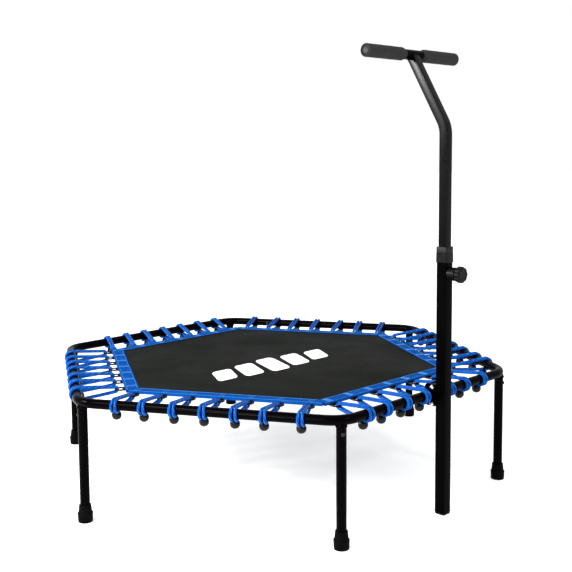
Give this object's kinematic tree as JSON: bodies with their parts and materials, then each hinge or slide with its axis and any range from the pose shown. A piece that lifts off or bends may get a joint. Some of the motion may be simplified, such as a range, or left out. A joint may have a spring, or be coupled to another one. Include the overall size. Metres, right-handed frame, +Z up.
{
  "type": "mini trampoline",
  "caption": "Hexagonal bungee-cord fitness trampoline on short legs, with a height-adjustable padded T-bar handle clamped to one side of the frame.",
  "frame": {"origin": "centre of the footprint's bounding box, on the floor", "axes": "+Z up; the handle stands on the -Y side; +X and -X point at two corners of the hexagon"},
  "size_m": [1.3148, 1.231, 1.145],
  "materials": {
    "black_tube": "gloss black powder coat",
    "charcoal_tube": "satin charcoal powder coat",
    "black_rubber": "matt moulded rubber",
    "black_plastic": "matt moulded plastic",
    "glossy_ball": "gloss moulded plastic",
    "foam": "closed-cell foam",
    "mat_cloth": "woven polypropylene",
    "blue_webbing": "woven webbing",
    "blue_cord": "braided elastic cord",
    "black_webbing": "woven webbing with moulded rings",
    "chrome": "polished",
    "zinc": "zinc plated"
  },
  "bodies": {
    "frame": {"rail_section_1": "black_tube", "rail_section_2": "black_tube", "rail_section_3": "black_tube", "rail_section_4": "black_tube", "rail_section_5": "black_tube", "rail_section_6": "black_tube", "leg_1": "black_tube", "leg_2": "black_tube", "leg_3": "black_tube", "leg_4": "black_tube", "leg_5": "black_tube", "leg_6": "black_tube", "foot_1": "black_rubber", "foot_2": "black_rubber", "foot_3": "black_rubber", "foot_4": "black_rubber", "foot_5": "black_rubber", "foot_6": "black_rubber", "leg_screw_1": "zinc", "leg_screw_2": "zinc", "leg_screw_3": "zinc", "leg_screw_4": "zinc", "leg_screw_5": "zinc", "leg_screw_6": "zinc", "rail_screw_1": "zinc", "rail_screw_2": "zinc", "rail_screw_3": "zinc", "rail_screw_4": "zinc", "rail_screw_5": "zinc", "rail_screw_6": "zinc", "bungee_set_1": "blue_cord", "bungee_set_2": "blue_cord", "bungee_set_3": "blue_cord", "bungee_set_4": "blue_cord", "bungee_set_5": "blue_cord", "bungee_set_6": "blue_cord", "lower_post": "charcoal_tube", "post_foot": "black_plastic", "post_collar": "black_plastic", "clamp_bracket": "black_tube", "clamp_bolt_upper": "chrome", "clamp_bolt_lower": "chrome", "dome_nut_upper": "chrome", "dome_nut_lower": "chrome", "pin_spring": "zinc"},
    "mat": {"jump_mat": "mat_cloth", "mat_border": "blue_webbing", "ring_strip_1": "black_webbing", "ring_strip_2": "black_webbing", "ring_strip_3": "black_webbing", "ring_strip_4": "black_webbing", "ring_strip_5": "black_webbing", "ring_strip_6": "black_webbing"},
    "handle": {"handle_tube": "charcoal_tube", "grip_left": "foam", "grip_right": "foam", "bar_plug_left": "black_plastic", "bar_plug_right": "black_plastic"},
    "pin": {"pull_pin": "zinc"},
    "knob": {"knob": "black_plastic"}
  },
  "joints": [
    {"name": "mat_bounce", "type": "slide", "parent": "frame", "child": "mat", "axis": [0, 0, 1], "range_m": [-0.15, 0], "stiffness_N_per_m": 9000, "springref_m": 0.002, "deforming": ["bungee_set_1", "bungee_set_2", "bungee_set_3", "bungee_set_4", "bungee_set_5", "bungee_set_6"]},
    {"name": "handle_height", "type": "slide", "parent": "frame", "child": "handle", "axis": [0, 0, 1], "range_m": [-0.1, 0.15]},
    {"name": "pin_pull", "type": "slide", "parent": "frame", "child": "pin", "axis": [0, -1, 0], "range_m": [0, 0.0065], "stiffness_N_per_m": 1500, "springref_m": -0.003, "deforming": ["pin_spring"]},
    {"name": "knob_turn", "type": "hinge", "parent": "pin", "child": "knob", "pos_m": [0.012, -0.57452, 0.6], "axis": [0, -1, 0], "continuous": true}
  ]
}
